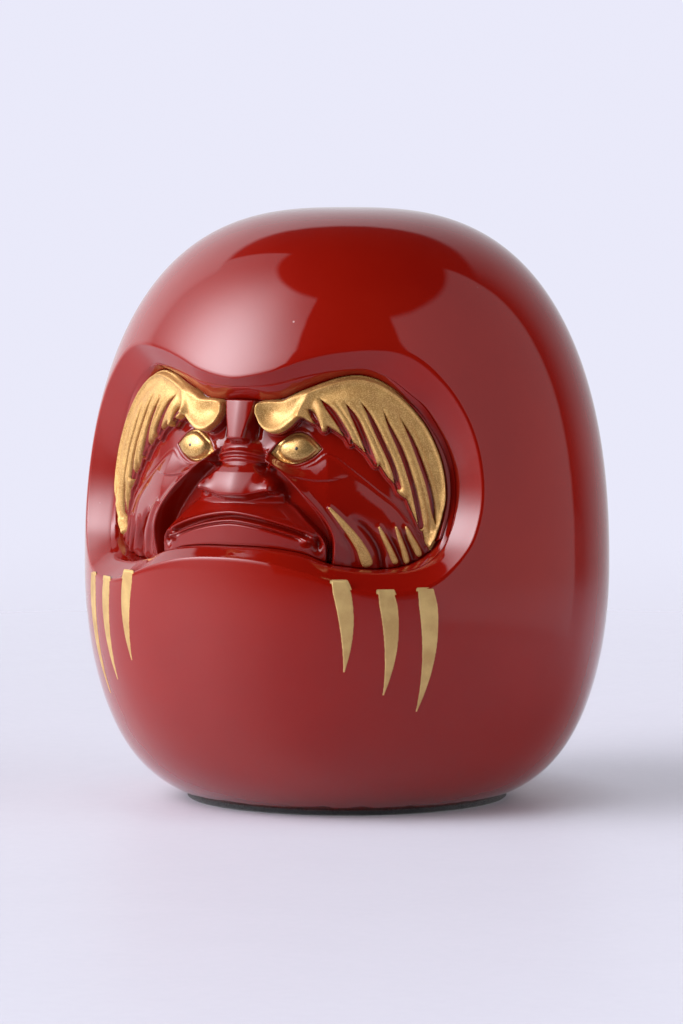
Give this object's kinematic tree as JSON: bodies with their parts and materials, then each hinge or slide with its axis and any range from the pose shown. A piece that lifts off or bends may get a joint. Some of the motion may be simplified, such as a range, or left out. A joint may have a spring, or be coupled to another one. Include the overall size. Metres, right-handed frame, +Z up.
{
  "type": "daruma doll",
  "caption": "Egg-shaped lacquered daruma doll with a sunken scowling face, gilded brows, eyes and beard strokes, and a flat felted base.",
  "frame": {"origin": "middle of the felt pad's underside, on the surface the doll stands on", "axes": "+Z up to the crown, the face looks along -Y, +X to the right of someone facing the doll"},
  "size_m": [0.098, 0.098, 0.11],
  "materials": {
    "red_lacquer": "deep gloss lacquer with a clear top coat",
    "red_lacquer_face": "deep gloss lacquer, pooled slightly in the creases",
    "gold_powder": "fine grained gold powder gilding",
    "gold_paint": "satin gold paint",
    "weight_iron": "as cast",
    "base_board": "plain pressed board",
    "black_felt": "short felt nap"
  },
  "bodies": {
    "root": {"body_shell": "red_lacquer", "face_insert": "red_lacquer_face", "brow_left": "gold_powder", "brow_right": "gold_powder", "eye_left": "gold_powder", "eye_right": "gold_powder", "cheek_strand_right_1": "gold_powder", "cheek_strand_right_2": "gold_powder", "cheek_strand_right_3": "gold_powder", "cheek_strand_right_4": "gold_powder", "beard_stroke_left_1": "gold_paint", "beard_stroke_left_2": "gold_paint", "beard_stroke_left_3": "gold_paint", "beard_stroke_right_1": "gold_paint", "beard_stroke_right_2": "gold_paint", "beard_stroke_right_3": "gold_paint", "ballast_weight": "weight_iron", "base_plate": "base_board", "base_felt": "black_felt"}
  },
  "joints": []
}
